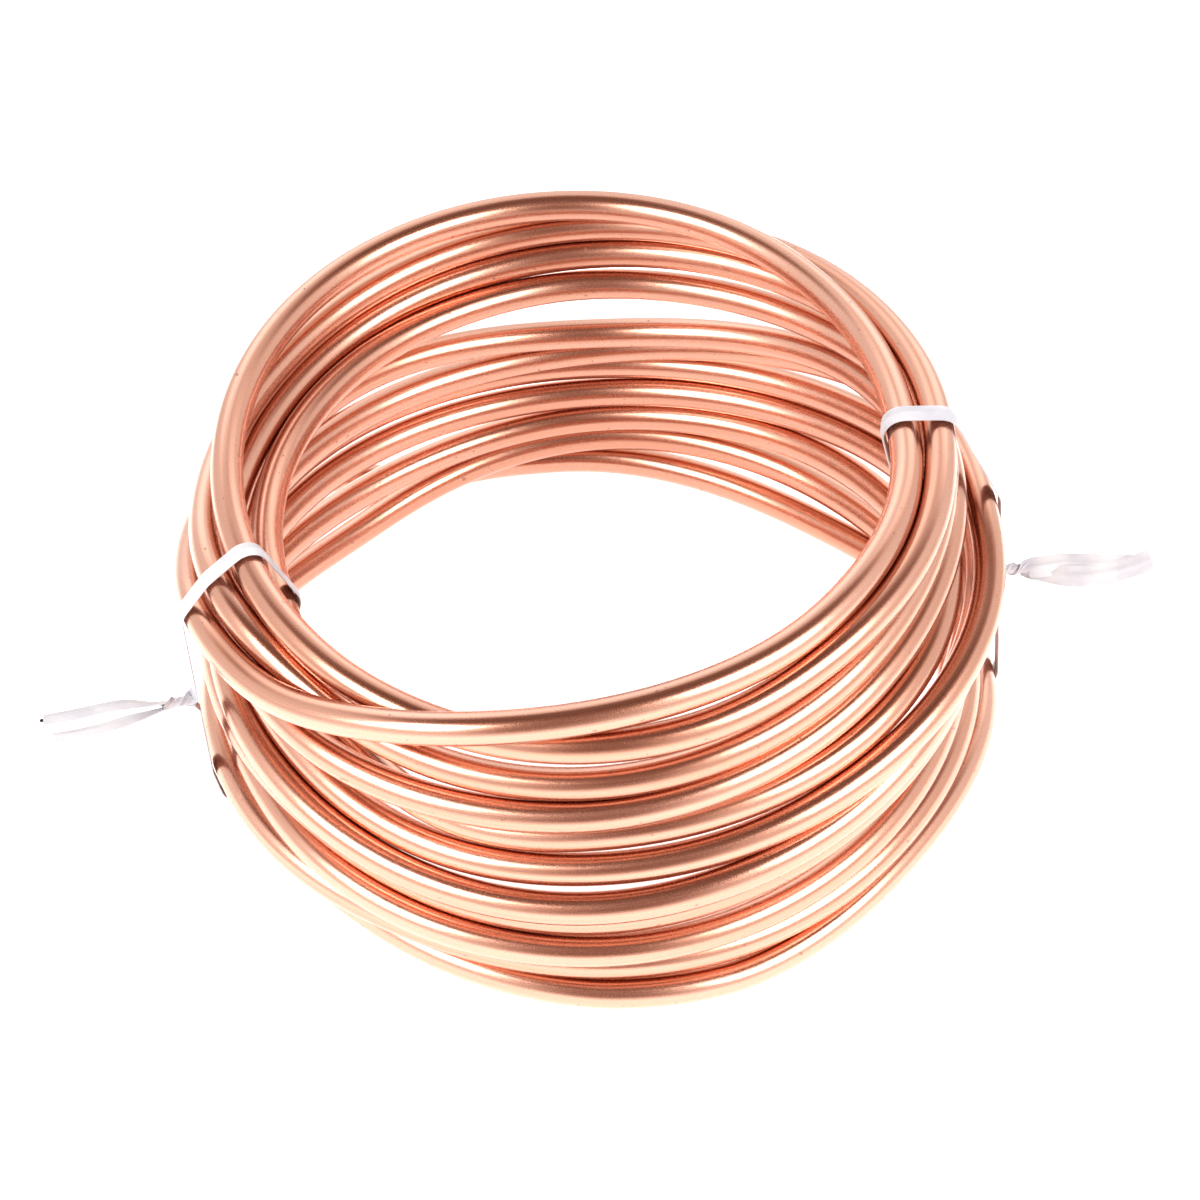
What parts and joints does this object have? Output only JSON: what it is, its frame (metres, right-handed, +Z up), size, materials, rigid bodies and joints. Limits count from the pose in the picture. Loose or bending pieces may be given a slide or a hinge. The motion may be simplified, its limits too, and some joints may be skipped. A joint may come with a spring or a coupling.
{
  "type": "copper tube coil",
  "caption": "Loose round coil of bright soft copper tube, standing on its end with an open eye, held together by white twist ties whose twisted tails stand out at the sides.",
  "frame": {"origin": "on the floor, on the axis of the coil, under the lowest turn", "axes": "+Z up along the coil's axis, +X to the right of the picture, -Y towards the camera"},
  "size_m": [0.2082, 0.1631, 0.0732],
  "materials": {
    "copper": null,
    "tie": "white plastic-coated wire ribbon"
  },
  "bodies": {
    "root": {"tube_coil": "copper", "tie_left": "tie", "tie_right": "tie"}
  },
  "joints": []
}
